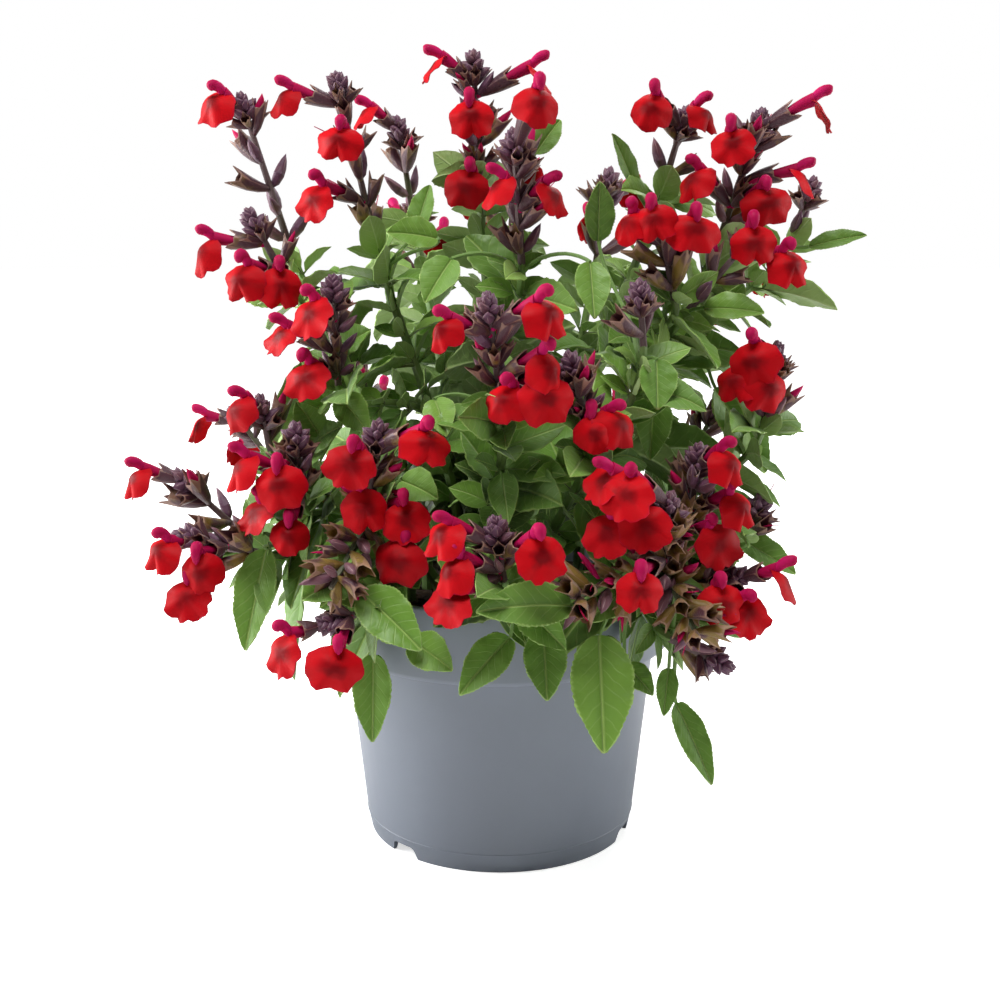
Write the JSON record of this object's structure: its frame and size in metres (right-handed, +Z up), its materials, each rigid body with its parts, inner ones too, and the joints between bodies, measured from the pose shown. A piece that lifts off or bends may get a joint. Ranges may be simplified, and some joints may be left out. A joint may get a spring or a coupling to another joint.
{
  "type": "potted flowering plant",
  "caption": "Bushy autumn sage with two-lipped red flowers on dark sprays and toothed green leaves, growing in a round grey plastic pot filled with soil.",
  "frame": {"origin": "centre of the pot's foot circle, on the surface the pot stands on", "axes": "+Z up along the pot's axis; the plant's front is towards -Y"},
  "size_m": [0.2445, 0.2008, 0.271],
  "materials": {
    "pot_plastic": "satin",
    "compost": "rough",
    "foliage": "satin",
    "blossom": "velvety"
  },
  "bodies": {
    "root": {"pot": "pot_plastic", "soil": "compost", "leafy_stem_01": "foliage", "leafy_stem_02": "foliage", "leafy_stem_03": "foliage", "leafy_stem_04": "foliage", "leafy_stem_05": "foliage", "leafy_stem_06": "foliage", "leafy_stem_07": "foliage", "leafy_stem_08": "foliage", "leafy_stem_09": "foliage", "leafy_stem_10": "foliage", "leafy_stem_11": "foliage", "leafy_stem_12": "foliage", "leafy_stem_13": "foliage", "leafy_stem_14": "foliage", "leafy_stem_15": "foliage", "leafy_stem_16": "foliage", "leafy_stem_17": "foliage", "leafy_stem_18": "foliage", "leafy_stem_19": "foliage", "flower_spray_01": "blossom", "flower_spray_02": "blossom", "flower_spray_03": "blossom", "flower_spray_04": "blossom", "flower_spray_05": "blossom", "flower_spray_06": "blossom", "flower_spray_07": "blossom", "flower_spray_08": "blossom", "flower_spray_09": "blossom", "flower_spray_10": "blossom", "flower_spray_11": "blossom", "flower_spray_12": "blossom", "flower_spray_13": "blossom", "flower_spray_14": "blossom", "flower_spray_15": "blossom", "flower_spray_16": "blossom", "flower_spray_17": "blossom", "flower_spray_18": "blossom", "flower_spray_19": "blossom", "flower_spray_20": "blossom", "flower_spray_21": "blossom", "flower_spray_22": "blossom", "flower_spray_23": "blossom", "flower_spray_24": "blossom", "flower_spray_25": "blossom", "flower_spray_26": "blossom", "flower_spray_27": "blossom", "flower_spray_28": "blossom", "flower_spray_29": "blossom", "flower_spray_30": "blossom", "flower_spray_31": "blossom", "flower_spray_32": "blossom", "flower_spray_33": "blossom", "flower_spray_34": "blossom", "flower_spray_35": "blossom", "flower_spray_36": "blossom", "flower_spray_37": "blossom"}
  },
  "joints": []
}
